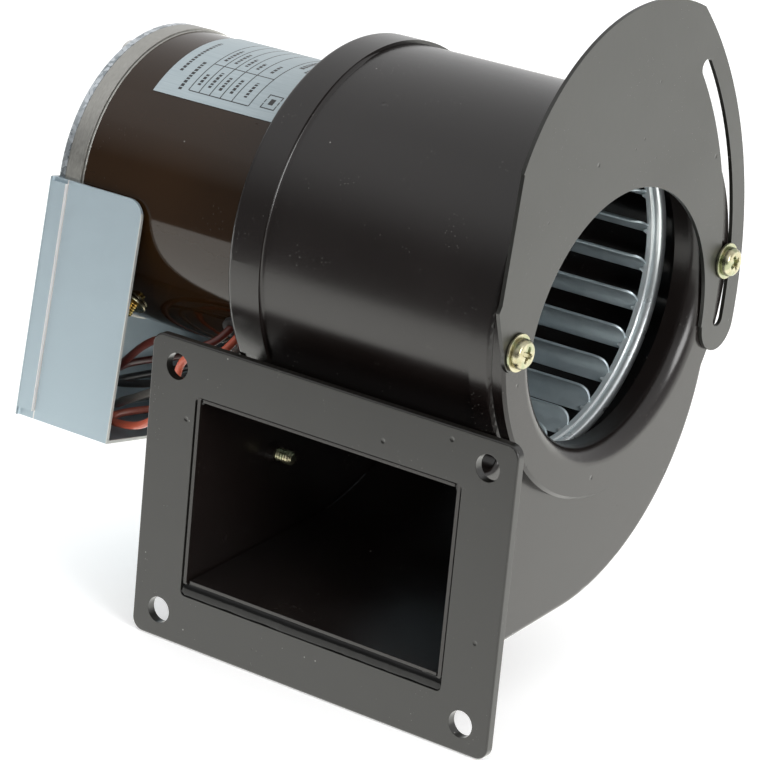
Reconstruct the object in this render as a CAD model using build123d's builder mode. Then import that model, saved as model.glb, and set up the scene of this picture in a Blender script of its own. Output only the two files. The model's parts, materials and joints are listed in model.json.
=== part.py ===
from build123d import *
from math import acos, atan2, cos, degrees, pi, radians, sin, sqrt, tan
import os

# Combustion fan: shaded-pole motor, squirrel-cage wheel and scroll housing.
# Millimetres.  X is the shaft axis with the inlet at +X, the outlet flange
# faces -Y, +Z is up.  The origin is the centre of the outlet flange's face.

# ---- outlet flange ----
FLANGE_W, FLANGE_H, FLANGE_T = 117.5, 84.5, 2.6
FLANGE_CORNER = 3.5
BOLT_X, BOLT_Z, BOLT_HOLE_R = 100.0, 69.0, 3.6
OPENING_W, OPENING_H = 86.0, 56.0

# ---- scroll housing ----
SHAFT_Y, SHAFT_Z = 61.2, 64.8
SHEET = 1.0
LAP = 0.05                      # gap between the wrap and the rims around it
SIDE_X = 42.5                   # outer faces of both side plates, either side of x = 0
WRAP_HALF = 40.7
RIM_BEND = 1.8
INLET_RIM_X, MOTOR_RIM_X = 35.6, -31.6
TOP_R = 53.5                    # outline round the wheel
BACK_R, BACK_Y, BACK_Z = 67.0, 47.8, 46.8
FLOOR_FRONT_Z = -25.6
NOSE_R, NOSE_Z = 4.0, 32.85     # cutoff nose
DUCT_FRONT_Y = 0.3
RIM_END_Z = 38.0                # the rims stop above the outlet flange

# ---- inlet ----
PAD_R, PAD_X = 52.9, 46.0       # raised round pad
THROAT_R, BELL_R, LIP_X = 39.4, 5.0, 37.0
SCREW_R = 2.0
SCREW_RING_R, SCREW_TILT = 49.3, 3.8
SCREW_TIP_X = 41.7

# ---- shutter ----
SHUTTER_X, SHUTTER_T = 46.1, 1.1
SLOT_W = 4.8
SLOT_LOW, SLOT_HIGH = -5.6, 39.4        # slot ends, degrees round the pivot

# ---- duct screw ----
DUCT_SCREW_Y, DUCT_SCREW_Z = 33.5, 5.5

# ---- wheel ----
BLADES, BLADE_T = 26, 0.6
BLADE_IN_R, BLADE_OUT_R, BLADE_SWEEP, BLADE_BOW = 40.6, 46.0, 5.8, 1.1
BLADE_PHASE = 14.5
BAND_R, BAND_T = 44.7, 0.6
BAND_X, BAND_FRONT_X = 23.4, 28.9
RING_IN_R, RING_OUT_R, RING_X, RING_FRONT_X = 44.1, 47.3, 26.4, 30.2
BACK_PLATE_X = -34.0
STRIP_REAR_X = -32.9
HUB_END_X, HUB_R = -15.0, 8.5

# ---- motor ----
SHAFT_R = 3.175
SHAFT_END_X, SHAFT_REAR_X = -13.0, -108.4
SHOULDER_R, SHOULDER_X0, SHOULDER_X1 = 4.2, -95.1, -59.0
SHELL_R, SHELL_T = 41.3, 0.9
SHELL_FRONT_X, SHELL_REAR_X = -42.6, -104.0
CAP_R, CAP_REAR_X = 42.0, -109.6
PLATE_REAR_X = -112.4
BOLT_RING_R, BOLT_ANGLE, BOLT_R = 37.0, 20.0, 2.0
CORE_X0, CORE_X1 = -86.0, -60.0
CORE_R, YOKE_R, BORE_R, ROTOR_R = 40.3, 33.0, 20.4, 20.0
POLE_W, SHOE_W, SHOE_R = 13.0, 25.0, 24.4
BEARING_R, BOSS_R = 8.0, 11.5
LABEL_X0, LABEL_X1, LABEL_A0, LABEL_A1 = -92.4, -50.4, 66.0, 132.0

# ---- wiring cover ----
COVER_TILT = 7.2
COVER_SHEET = 0.9
COVER_IN = 42.1                 # inner half width, tangent to the motor's cap
COVER_TOP, COVER_BOTTOM = -1.1, -68.7
COVER_FRONT_X, COVER_REAR_X = -80.4, -112.5
LAP_FLANGE_X = -107.2

# ---- leads ----
LEAD_R = 1.1
GROMMET_X, GROMMET_ANGLE = -52.0, -140.0
LEAD_SPREAD = 1.8
GROUND_X, GROUND_ANGLE = -93.0, -135.0

shaft_axis = Axis((0, SHAFT_Y, SHAFT_Z), (1, 0, 0))
# a plane through the shaft: local x is X and local y is the distance above the shaft
axial = Plane(origin=(0, SHAFT_Y, SHAFT_Z), x_dir=(1, 0, 0), z_dir=(0, -1, 0))


def across(x):
    """Plane square to the shaft at x, with its origin at the frame's: local x is Y, local y is Z."""
    return Plane.YZ.offset(x)


def round_shaft(x, angle=0.0):
    """Plane square to the shaft at x, with its origin on the shaft and turned by angle."""
    a = radians(angle)
    return Plane(origin=(x, SHAFT_Y, SHAFT_Z), x_dir=(0, cos(a), sin(a)), z_dir=(1, 0, 0))


def radial(x, angle, radius):
    """Plane facing outwards at a radius from the shaft: local x is X, local y runs back round the shaft."""
    a = radians(angle)
    point = (x, SHAFT_Y + radius * cos(a), SHAFT_Z + radius * sin(a))
    return Plane(origin=point, x_dir=(1, 0, 0), z_dir=(0, cos(a), sin(a)))


def save(part, name):
    """Label a finished piece and write its STEP file."""
    part.label = name
    export_step(part, f"parts/{name}.step")


def turned(points):
    """A turned piece about the shaft from (x, radius) points."""
    with BuildPart() as piece:
        with BuildSketch(axial):
            with BuildLine():
                Polyline(*points, close=True)
            make_face()
        revolve(axis=shaft_axis)
    return piece.part


def ring(x0, x1, inner, outer):
    """A plain ring or disc about the shaft."""
    return turned([(x0, inner), (x1, inner), (x1, outer), (x0, outer)])


def scroll_outline(inset):
    """Outline of scroll and duct, moved inwards by inset, as a sketch: local x is Y, local y is Z."""
    top_r = TOP_R - inset
    back_r = BACK_R - inset
    nose_r = NOSE_R + inset
    span = sqrt((SHAFT_Y - BACK_Y) ** 2 + (SHAFT_Z - BACK_Z) ** 2)
    lean = degrees(atan2(SHAFT_Z - BACK_Z, SHAFT_Y - BACK_Y))
    tangent = lean - degrees(acos((BACK_R - TOP_R) / span))
    nose_y = SHAFT_Y - sqrt((TOP_R + NOSE_R) ** 2 - (SHAFT_Z - NOSE_Z) ** 2)
    nose_angle = degrees(atan2(SHAFT_Z - NOSE_Z, SHAFT_Y - nose_y))
    roof_z = NOSE_Z - nose_r
    reach = sqrt((BACK_Y - DUCT_FRONT_Y) ** 2 + (BACK_Z - FLOOR_FRONT_Z) ** 2)
    toward = degrees(atan2(FLOOR_FRONT_Z - BACK_Z, DUCT_FRONT_Y - BACK_Y))
    floor_angle = toward + degrees(acos(BACK_R / reach))
    floor_z = FLOOR_FRONT_Z - inset / sin(radians(floor_angle))
    with BuildSketch() as outline:
        with BuildLine():
            roof = Line((DUCT_FRONT_Y, roof_z), (nose_y, roof_z))
            CenterArc((nose_y, NOSE_Z), nose_r, -90, 90 + nose_angle)
            top = CenterArc((SHAFT_Y, SHAFT_Z), top_r, 180 + nose_angle, tangent - 180 - nose_angle)
            back = CenterArc((BACK_Y, BACK_Z), back_r, tangent, floor_angle - tangent)
            Line(top @ 1, back @ 0)
            floor = Line(back @ 1, (DUCT_FRONT_Y, floor_z))
            Line(floor @ 1, roof @ 0)
        make_face()
    return outline.sketch


def scroll_block(face_x, end_x, inset, bend):
    """Solid scroll from face_x to end_x with its edge at face_x rounded."""
    with BuildPart() as block:
        with BuildSketch(across(face_x)):
            add(scroll_outline(inset))
        extrude(amount=end_x - face_x)
        face = block.faces().sort_by(Axis.X)[-1 if face_x > end_x else 0]
        edges = [e for e in face.edges() if (e @ 0.5).Y > DUCT_FRONT_Y + 0.1]
        fillet(edges, bend)
    return block.part


def side_cap(side, rim_x):
    """Drawn side plate: scroll-shaped face, rim lapped over the wrap, neck inside the flange."""
    inner_x = side * (SIDE_X - SHEET)
    shell = scroll_block(side * SIDE_X, rim_x, 0, RIM_BEND)
    hollow = scroll_block(inner_x, rim_x - side * 1.0, SHEET, RIM_BEND - SHEET)
    neck_back = FLANGE_T + 0.1
    neck_top = NOSE_Z - NOSE_R - SHEET - LAP
    neck_bottom = FLOOR_FRONT_Z + SHEET
    with BuildPart() as cap:
        add(shell)
        add(hollow, mode=Mode.SUBTRACT)
        # only the flat wall passes through the flange, and the rim stops short of it
        with BuildSketch(across(0)):
            Rectangle(2 * neck_back, 200)
            with Locations((0, (neck_top + neck_bottom) / 2)):
                Rectangle(2 * neck_back, neck_top - neck_bottom, mode=Mode.SUBTRACT)
        extrude(amount=60, both=True, mode=Mode.SUBTRACT)
        with BuildSketch(across(side * (SIDE_X - SHEET))):
            with Locations((0, 0)):
                Rectangle(2 * neck_back, 200)
            with Locations((10, (RIM_END_Z + 18) / 2)):
                Rectangle(30, RIM_END_Z - 18)
            with BuildSketch(mode=Mode.SUBTRACT):
                add(scroll_outline(SHEET + LAP))
        extrude(amount=-side * 30, mode=Mode.SUBTRACT)
    return cap.part


def screw_spot(side):
    """Y and Z of the pivot (side -1) and clamp (side 1) screws, opposite each other."""
    a = radians(SCREW_TILT)
    return (SHAFT_Y + side * SCREW_RING_R * cos(a), SHAFT_Z + side * SCREW_RING_R * sin(a))


def pan_screw(plane, head_r, head_t, length, shank_r):
    """Pan-head screw whose head sits on the plane and whose shank goes behind it."""
    with BuildPart() as screw:
        with BuildSketch(plane):
            Circle(head_r)
        extrude(amount=head_t)
        fillet(screw.edges().group_by(Axis(plane.origin, plane.z_dir))[-1], head_t * 0.55)
        with BuildSketch(plane):
            Circle(shank_r)
        extrude(amount=-length)
        chamfer(screw.edges().group_by(Axis(plane.origin, plane.z_dir))[0], 0.5)
        with BuildSketch(plane.offset(head_t)):
            Rectangle(4.4, 0.9)
            Rectangle(0.9, 4.4)
        extrude(amount=-head_t * 0.6, mode=Mode.SUBTRACT)
    return screw.part


def solids(parts):
    """Several separate solids as one group."""
    with BuildPart() as group:
        for part in parts:
            add(part)
    return group.part


os.makedirs("parts", exist_ok=True)
PIVOT_Y, PIVOT_Z = screw_spot(-1)
CLAMP_Y, CLAMP_Z = screw_spot(1)
BOLT_ANGLES = [BOLT_ANGLE + 90 * i for i in range(4)]

# ================= housing =================
with BuildPart() as outlet_flange:
    with BuildSketch(Plane.XZ):
        RectangleRounded(FLANGE_W, FLANGE_H, FLANGE_CORNER)
        RectangleRounded(OPENING_W, OPENING_H, 1.5, mode=Mode.SUBTRACT)
        with GridLocations(BOLT_X, BOLT_Z, 2, 2):
            Circle(BOLT_HOLE_R, mode=Mode.SUBTRACT)
    extrude(amount=-FLANGE_T)
    fillet(outlet_flange.faces().sort_by(Axis.Y)[0].outer_wire().edges(), 0.5)
save(outlet_flange.part, "outlet_flange")

with BuildPart() as scroll_wrap:
    with BuildSketch(across(-WRAP_HALF)):
        add(scroll_outline(SHEET + LAP))
        add(scroll_outline(2 * SHEET + LAP), mode=Mode.SUBTRACT)
        with Locations((DUCT_FRONT_Y, 0)):
            Rectangle(1.0, 2 * (NOSE_Z - NOSE_R - 2 * SHEET - LAP) - 0.002, mode=Mode.SUBTRACT)
    extrude(amount=2 * WRAP_HALF)
save(scroll_wrap.part, "scroll_wrap")

# the bead closes the gap under the duct floor, and a tack of weld fills each corner
bead_low, bead_high = -OPENING_H / 2 + 0.05, FLOOR_FRONT_Z + SHEET - 0.05
with BuildPart() as floor_bead:
    with BuildSketch(Plane.YZ.offset(-OPENING_W / 2 + 1.4)):
        with Locations((0.1 + 1.2, (bead_low + bead_high) / 2)):
            Rectangle(2.4, bead_high - bead_low)
    extrude(amount=OPENING_W - 2.8)
    front = floor_bead.faces().sort_by(Axis.Y)[0]
    fillet(front.edges().filter_by(Axis.X), 1.1)
weld_parts = [floor_bead.part]
for sx in (-1, 1):
    for sz in (-1, 1):
        roof = NOSE_Z - NOSE_R - 2 * SHEET - LAP
        floor = FLOOR_FRONT_Z + 2 * SHEET + LAP + 0.15
        z = roof - 1.1 if sz > 0 else floor + 1.1
        with BuildPart() as tack:
            with Locations((sx * (SIDE_X - SHEET - 1.9), 1.6, z)):
                Sphere(1.0)
        weld_parts.append(tack.part)
save(solids(weld_parts), "flange_welds")

motor_cap = side_cap(-1, MOTOR_RIM_X)
inlet_cap = side_cap(1, INLET_RIM_X)

with BuildPart() as motor_side_plate:
    add(motor_cap)
    with BuildSketch(round_shaft(-SIDE_X - 1)):
        Circle(8.5)
        with PolarLocations(BOLT_RING_R, 4, start_angle=BOLT_ANGLE):
            Circle(BOLT_R + 0.15)
    extrude(amount=SHEET + 2, mode=Mode.SUBTRACT)
    # extruded collar that the duct screw bites into
    with BuildSketch(across(-SIDE_X + SHEET)):
        with Locations((DUCT_SCREW_Y, DUCT_SCREW_Z)):
            Circle(3.1)
    extrude(amount=2.6)
    with BuildSketch(across(-SIDE_X - 1)):
        with Locations((DUCT_SCREW_Y, DUCT_SCREW_Z)):
            Circle(SCREW_R + 0.05)
    extrude(amount=8, mode=Mode.SUBTRACT)
save(motor_side_plate.part, "motor_side_plate")

with BuildPart() as inlet_side_plate:
    add(inlet_cap)
    with BuildSketch(round_shaft(SIDE_X + 1)):
        Circle(PAD_R - SHEET)
    extrude(amount=-SHEET - 2, mode=Mode.SUBTRACT)
    # raised pad, rolled bell mouth and lip in one turned shape
    with BuildSketch(axial):
        with BuildLine():
            inner_x = PAD_X - SHEET
            wall = Polyline((SIDE_X - SHEET, PAD_R - SHEET), (SIDE_X - SHEET, PAD_R - 0.4),
                            (SIDE_X, PAD_R), (PAD_X - 0.8, PAD_R), (PAD_X, PAD_R - 0.8),
                            (PAD_X, THROAT_R + BELL_R))
            roll = CenterArc((PAD_X - BELL_R, THROAT_R + BELL_R), BELL_R, 0, -90)
            lip = Polyline(roll @ 1, (LIP_X, THROAT_R), (LIP_X, THROAT_R + SHEET),
                           (PAD_X - BELL_R, THROAT_R + SHEET))
            under = CenterArc((PAD_X - BELL_R, THROAT_R + BELL_R), BELL_R - SHEET, -90, 90)
            Polyline(under @ 1, (inner_x, PAD_R - SHEET), (SIDE_X - SHEET, PAD_R - SHEET))
        make_face()
    revolve(axis=shaft_axis)
    with BuildSketch(across(PAD_X + 1)):
        with Locations((PIVOT_Y, PIVOT_Z), (CLAMP_Y, CLAMP_Z)):
            Circle(SCREW_R + 0.05)
    extrude(amount=-3, mode=Mode.SUBTRACT)
save(inlet_side_plate.part, "inlet_side_plate")

# ================= shutter =================
UPPER_Y, UPPER_Z, UPPER_R = 62.0, 85.0, 60.0
LOWER_Y, LOWER_Z, LOWER_R = 60.0, 54.0, 42.0
REACH, LEG_R = 107.0, 8.0       # leg's outside edge from the pivot, and its rounded end
LEG_Y, LEG_Z = 110.4, 50.7
LOBE_R = 5.6
SLOT_R = 2 * SCREW_RING_R
with BuildPart() as inlet_shutter:
    with BuildSketch(across(SHUTTER_X)):
        with Locations((UPPER_Y, UPPER_Z)):
            Circle(UPPER_R)
        with Locations((UPPER_Y, LEG_Z - 50)):
            Rectangle(200, 100, mode=Mode.SUBTRACT)
        with Locations((30 - 40, PIVOT_Z - 50)):
            Rectangle(80, 100, mode=Mode.SUBTRACT)
        with Locations((112, (LEG_Z + 98) / 2)):
            Rectangle(24, 98 - LEG_Z)
        with Locations((LEG_Y, LEG_Z)):
            Circle(LEG_R)
        with Locations((PIVOT_Y, PIVOT_Z)):
            Circle(LOBE_R)
            Circle(REACH, mode=Mode.INTERSECT)
        Polygon((3.1, 74.0), (6.9, 107.8), (-5, 107.8), (-5, 74.0), align=None, mode=Mode.SUBTRACT)
        Polygon((2.2, 73.2), (3.3, 70.0), (4.7, 66.0), (5.9, 62.9), (7.4, 60.0), (PIVOT_Y, PIVOT_Z), (14.5, 56.6),
                (22, 60), (25, 80), (8, 84), align=None)
        with Locations((LOWER_Y, LOWER_Z)):
            Circle(LOWER_R, mode=Mode.SUBTRACT)
        with BuildLine(mode=Mode.PRIVATE) as slot_line:
            CenterArc((PIVOT_Y, PIVOT_Z), SLOT_R, SLOT_LOW, SLOT_HIGH - SLOT_LOW)
        SlotArc(slot_line.edges()[0], SLOT_W, mode=Mode.SUBTRACT)
        with Locations((PIVOT_Y, PIVOT_Z)):
            Circle(SCREW_R + 0.08, mode=Mode.SUBTRACT)
    extrude(amount=SHUTTER_T)
save(inlet_shutter.part, "inlet_shutter")

screw_washer_x = SHUTTER_X + SHUTTER_T + 0.1
WASHER_T = 0.8
for spot, name in (((PIVOT_Y, PIVOT_Z), "shutter_pivot_screw"), ((CLAMP_Y, CLAMP_Z), "shutter_clamp_screw")):
    head_x = screw_washer_x + WASHER_T
    seat = Plane(origin=(head_x, *spot), x_dir=(0, 1, 0), z_dir=(1, 0, 0))
    save(pan_screw(seat, 4.0, 2.4, head_x - SCREW_TIP_X, SCREW_R), name)
with BuildPart() as shutter_washers:
    with BuildSketch(across(screw_washer_x)):
        with Locations((PIVOT_Y, PIVOT_Z), (CLAMP_Y, CLAMP_Z)):
            Circle(5.0)
            Circle(SCREW_R + 0.1, mode=Mode.SUBTRACT)
    extrude(amount=WASHER_T)
save(shutter_washers.part, "shutter_washers")

seat = Plane(origin=(-SIDE_X - 0.05, DUCT_SCREW_Y, DUCT_SCREW_Z), x_dir=(0, 1, 0), z_dir=(-1, 0, 0))
save(pan_screw(seat, 4.0, 2.4, 8.5, SCREW_R), "duct_screw")

# ================= motor =================
def drilled(part, x0, x1, radius, angles):
    """Part with holes along the shaft direction on the bolt circle."""
    with BuildPart() as piece:
        add(part)
        with BuildSketch(round_shaft(x0)):
            for angle in angles:
                a = radians(angle)
                with Locations((BOLT_RING_R * cos(a), BOLT_RING_R * sin(a))):
                    Circle(radius)
        extrude(amount=x1 - x0, mode=Mode.SUBTRACT)
    return piece.part


shell_tube = ring(SHELL_REAR_X, SHELL_FRONT_X, SHELL_R - SHELL_T, SHELL_R)
with BuildPart() as motor_shell:
    add(shell_tube)
    with BuildSketch(radial(GROMMET_X, GROMMET_ANGLE, 30)):
        Circle(4.4)
    extrude(amount=20, mode=Mode.SUBTRACT)
    with BuildSketch(radial(GROUND_X, GROUND_ANGLE, 38)):
        Circle(SCREW_R + 0.05)
    extrude(amount=6, mode=Mode.SUBTRACT)
save(motor_shell.part, "motor_shell")

# end shields: a web, a rim that locates the shell and a boss for the bearing
fit_r = SHELL_R - SHELL_T - 0.05
front_x = SHELL_FRONT_X
front_shield = turned([(front_x, 4.0), (front_x, fit_r), (front_x - 3.6, fit_r), (front_x - 3.6, fit_r - 0.9),
                       (front_x - 2.4, fit_r - 0.9), (front_x - 2.4, BOSS_R), (-57.0, BOSS_R),
                       (-57.0, BEARING_R + 0.05), (-46.9, BEARING_R + 0.05), (-46.9, 4.0)])
save(drilled(front_shield, front_x - 8, front_x + 1, BOLT_R + 0.15, BOLT_ANGLES), "front_end_shield")
rear_shield = turned([(SHELL_REAR_X - 0.05, CAP_R), (CAP_REAR_X, CAP_R), (CAP_REAR_X, 4.0), (-107.3, 4.0),
                      (-107.3, BEARING_R + 0.05), (-97.1, BEARING_R + 0.05), (-97.1, BOSS_R),
                      (-107.0, BOSS_R), (-107.0, fit_r - 0.9), (-100.0, fit_r - 0.9), (-100.0, fit_r),
                      (SHELL_REAR_X - 0.05, fit_r)])
save(drilled(rear_shield, CAP_REAR_X - 1, -99, BOLT_R + 0.15, BOLT_ANGLES), "rear_end_shield")
rear_plate = turned([(CAP_REAR_X - 0.05, CAP_R), (PLATE_REAR_X + 0.9, CAP_R), (PLATE_REAR_X, CAP_R - 0.9),
                     (PLATE_REAR_X, 0), (PLATE_REAR_X + 1.0, 0), (PLATE_REAR_X + 1.0, CAP_R - 1.4),
                     (CAP_REAR_X - 0.05, CAP_R - 1.4)])
# pads that carry the bolts' pull across to the shield
with BuildPart() as rear_end_plate:
    add(rear_plate)
    with BuildSketch(round_shaft(PLATE_REAR_X + 1.0)):
        with PolarLocations(BOLT_RING_R, 4, start_angle=BOLT_ANGLE):
            Circle(3.9)
    extrude(amount=CAP_REAR_X - 0.05 - PLATE_REAR_X - 1.0)
save(drilled(rear_end_plate.part, PLATE_REAR_X - 1, CAP_REAR_X + 1, BOLT_R + 0.15, BOLT_ANGLES),
     "rear_end_plate")

front_bearing = ring(-56.9, -46.95, SHAFT_R + 0.04, BEARING_R)
rear_bearing = ring(-107.25, -97.2, SHAFT_R + 0.04, BEARING_R)
save(front_bearing, "front_bearing")
save(rear_bearing, "rear_bearing")
save(solids([ring(-57.9, -57.05, 5.0, BOSS_R), ring(-97.05, -96.2, 5.0, BOSS_R)]), "bearing_retainers")

core_mid = (CORE_X0 + CORE_X1) / 2
core_len = CORE_X1 - CORE_X0
with BuildPart() as stator_core:
    with BuildSketch(round_shaft(CORE_X0)):
        Circle(CORE_R)
        Circle(YOKE_R, mode=Mode.SUBTRACT)
        with PolarLocations((YOKE_R + BORE_R) / 2, 4):
            Rectangle(YOKE_R - BORE_R + 1.0, POLE_W)
        with PolarLocations(SHOE_R - 2.5, 4):
            Rectangle(5.0, SHOE_W)
        Circle(BORE_R, mode=Mode.SUBTRACT)
        with PolarLocations(0, 4):
            with Locations((19.8, 8.65)):
                Rectangle(3.6, 1.1, mode=Mode.SUBTRACT)
        with PolarLocations(BOLT_RING_R, 4, start_angle=BOLT_ANGLE):
            Circle(BOLT_R + 0.15, mode=Mode.SUBTRACT)
    extrude(amount=core_len)
save(stator_core.part, "stator_core")

coils, shading = [], []
for quarter in range(4):
    with BuildPart() as coil:
        with BuildSketch(radial(core_mid, 90 * quarter, SHOE_R + 0.5)):
            RectangleRounded(core_len + 14, 25, 5)
            Rectangle(core_len + 0.8, POLE_W + 0.6, mode=Mode.SUBTRACT)
        extrude(amount=5.3)
    coils.append(coil.part)
    with BuildPart() as shade:
        with BuildSketch(radial(core_mid, 90 * quarter, 20.0)):
            with Locations((0, -11.1)):
                Rectangle(core_len + 2.4, 5.8)
                Rectangle(core_len + 0.5, 4.0, mode=Mode.SUBTRACT)
        extrude(amount=0.9)
    shading.append(shade.part)
save(solids(coils), "stator_windings")
save(solids(shading), "shading_rings")

# long bolts clamp the motor together and hold it to the housing, nuts inside the scroll
COVERED = (BOLT_ANGLE + 180, BOLT_ANGLE + 270)
bolts, nuts = [], []
for angle in BOLT_ANGLES:
    a = radians(angle)
    y, z = SHAFT_Y + BOLT_RING_R * cos(a), SHAFT_Z + BOLT_RING_R * sin(a)
    head_x = PLATE_REAR_X - 0.05
    if angle in COVERED:
        head_x = COVER_REAR_X - COVER_SHEET - 0.05
    seat = Plane(origin=(head_x, y, z), x_dir=(0, 1, 0), z_dir=(-1, 0, 0))
    bolts.append(pan_screw(seat, 3.8, 2.4, abs(head_x + 37.2), BOLT_R))
    with BuildPart() as nut:
        with BuildSketch(across(-SIDE_X + SHEET + 0.05)):
            with Locations((y, z)):
                RegularPolygon(4.04, 6)
                Circle(BOLT_R + 0.05, mode=Mode.SUBTRACT)
        extrude(amount=3.2)
    nuts.append(nut.part)
save(solids(bolts), "through_bolts")
save(solids(nuts), "through_bolt_nuts")

with BuildPart() as lead_grommet:
    with BuildSketch(radial(GROMMET_X, GROMMET_ANGLE, 38.4)):
        Circle(5.2)
    extrude(amount=1.4)
    with BuildSketch(radial(GROMMET_X, GROMMET_ANGLE, 39.0)):
        Circle(4.3)
    extrude(amount=2.8)
    with BuildSketch(radial(GROMMET_X, GROMMET_ANGLE, SHELL_R + 0.05)):
        Circle(5.6)
    extrude(amount=1.5)
    with BuildSketch(radial(GROMMET_X, GROMMET_ANGLE, 36)):
        with GridLocations(2 * LEAD_SPREAD, 2 * LEAD_SPREAD, 2, 2):
            Circle(LEAD_R + 0.05)
    extrude(amount=10, mode=Mode.SUBTRACT)
save(lead_grommet.part, "lead_grommet")

seat = radial(GROUND_X, GROUND_ANGLE, SHELL_R + 0.95)
save(pan_screw(seat, 3.6, 2.6, 6.0, SCREW_R), "ground_screw")
with BuildPart() as ground_washer:
    with BuildSketch(radial(GROUND_X, GROUND_ANGLE, SHELL_R + 0.05)):
        Circle(4.4)
        Circle(SCREW_R + 0.1, mode=Mode.SUBTRACT)
    extrude(amount=0.85)
save(ground_washer.part, "ground_washer")

with BuildPart() as motor_label:
    with BuildSketch(round_shaft(LABEL_X0)):
        Circle(SHELL_R + 0.2)
        Circle(SHELL_R + 0.05, mode=Mode.SUBTRACT)
        sector = [(0, 0)]
        for i in range(4):
            a = radians(LABEL_A0 + (LABEL_A1 - LABEL_A0) * i / 3)
            sector.append((80 * cos(a), 80 * sin(a)))
        Polygon(*sector, align=None, mode=Mode.INTERSECT)
    extrude(amount=LABEL_X1 - LABEL_X0)
save(motor_label.part, "motor_label")

# ================= wiring cover =================
outer_u = COVER_IN + COVER_SHEET
flange_u = outer_u + 0.1
with BuildPart() as wiring_cover:
    # U of front wall, floor and back wall
    with BuildSketch(round_shaft(COVER_REAR_X, -COVER_TILT)):
        with Locations((0, (COVER_TOP + COVER_BOTTOM) / 2)):
            Rectangle(2 * outer_u, COVER_TOP - COVER_BOTTOM)
        with Locations((0, (COVER_TOP + COVER_BOTTOM) / 2 + COVER_SHEET)):
            Rectangle(2 * COVER_IN, COVER_TOP - COVER_BOTTOM, mode=Mode.SUBTRACT)
    extrude(amount=COVER_FRONT_X - COVER_REAR_X)
    # back wall with lapped flanges along its two upright edges
    with BuildSketch(round_shaft(COVER_REAR_X, -COVER_TILT)):
        with Locations((0, (COVER_TOP + COVER_BOTTOM) / 2)):
            Rectangle(2 * (flange_u + COVER_SHEET), COVER_TOP - COVER_BOTTOM)
    extrude(amount=-COVER_SHEET)
    with BuildSketch(round_shaft(COVER_REAR_X, -COVER_TILT)):
        for side in (-1, 1):
            with Locations((side * (flange_u + COVER_SHEET / 2), (COVER_TOP + COVER_BOTTOM) / 2 + 0.6)):
                Rectangle(COVER_SHEET, COVER_TOP - COVER_BOTTOM - 3.2)
    extrude(amount=LAP_FLANGE_X - COVER_REAR_X)
    # rounded upper corners at the open side
    sideways = Axis((0, 0, 0), (0, cos(radians(COVER_TILT)), -sin(radians(COVER_TILT))))
    at_mouth = wiring_cover.edges().filter_by(sideways).group_by(Axis.X)[-1]
    high = [e for e in at_mouth if e.length < 2 * COVER_SHEET and (e @ 0.5).Z > SHAFT_Z - 20]
    fillet(high, 5)
save(drilled(wiring_cover.part, COVER_REAR_X - 2, COVER_REAR_X + 1, BOLT_R + 0.15, COVERED), "wiring_cover")


# ================= leads =================
def from_grommet(dx, dy, reach):
    """Point at a distance from the shaft on the line of one of the grommet's holes."""
    local = Vector(dx, dy, 0)
    point = radial(GROMMET_X, GROMMET_ANGLE, reach).from_local_coords(local)
    return (point.X, point.Y, point.Z)


def lead_path(points):
    """Radii for a route: each arc as large as its two runs allow."""
    radii = []
    for i in range(1, len(points) - 1):
        before = Vector(*points[i]) - Vector(*points[i - 1])
        after = Vector(*points[i + 1]) - Vector(*points[i])
        turn = radians(before.get_angle(after))
        radii.append(0.45 * min(before.length, after.length) / tan(turn / 2))
    return radii


s = LEAD_SPREAD
LEADS = {
    "lead_brown": [from_grommet(-s, s, 36), from_grommet(-s, s, 53), (-75, 23.5, 33.5),
                   (-93, 25.3, 16.5), (-101, 44, 14), (-96, 68, 12)],
    "lead_black": [from_grommet(-s, -s, 36), from_grommet(-s, -s, 50), (-74, 29.5, 17),
                   (-100, 31, 10), (-106, 50, 6.5), (-104, 75, 5)],
    "lead_grey": [from_grommet(s, -s, 38), from_grommet(s, -s, 54), (-74, 24.5, 17),
                  (-97, 29, 4), (-103, 47, 2), (-98, 70, 0)],
    "lead_red": [from_grommet(s, s, 40), from_grommet(s, s, 58), (-64, 16.5, 24), (-72, 18.5, 7.5),
                 (-91, 19.8, 4.0), (-96, 38, 1.8), (-91, 60, -0.5)],
}
terminals = []
for name, route in LEADS.items():
    radii = lead_path(route)
    with BuildPart() as lead:
        with BuildLine() as path:
            wire = FilletPolyline(*route, radius=radii)
        with BuildSketch(Plane(origin=wire @ 0, z_dir=wire % 0)):
            Circle(LEAD_R)
        sweep(path=wire)
    save(lead.part, name)
    length = wire.length
    print(name, "radii", [round(r, 1) for r in radii], "length", round(length, 1),
          "volume ratio", round(lead.part.volume / (pi * LEAD_R ** 2 * length), 4))
    # push-on terminal: crimped barrel, then a flat folded receptacle
    tip = Plane(origin=wire @ 1, x_dir=(0, 0, 1), z_dir=wire % 1)
    with BuildPart() as terminal:
        with BuildSketch(tip.offset(0.02)):
            Circle(1.7)
        extrude(amount=7)
        with BuildSketch(tip.offset(7)):
            RectangleRounded(2.4, 7.2, 0.8)
        extrude(amount=8)
        with BuildSketch(tip.offset(16)):
            Rectangle(1.0, 6.4)
        extrude(amount=-7.5, mode=Mode.SUBTRACT)
    terminals.append(terminal.part)
save(solids(terminals), "lead_terminals")

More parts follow.
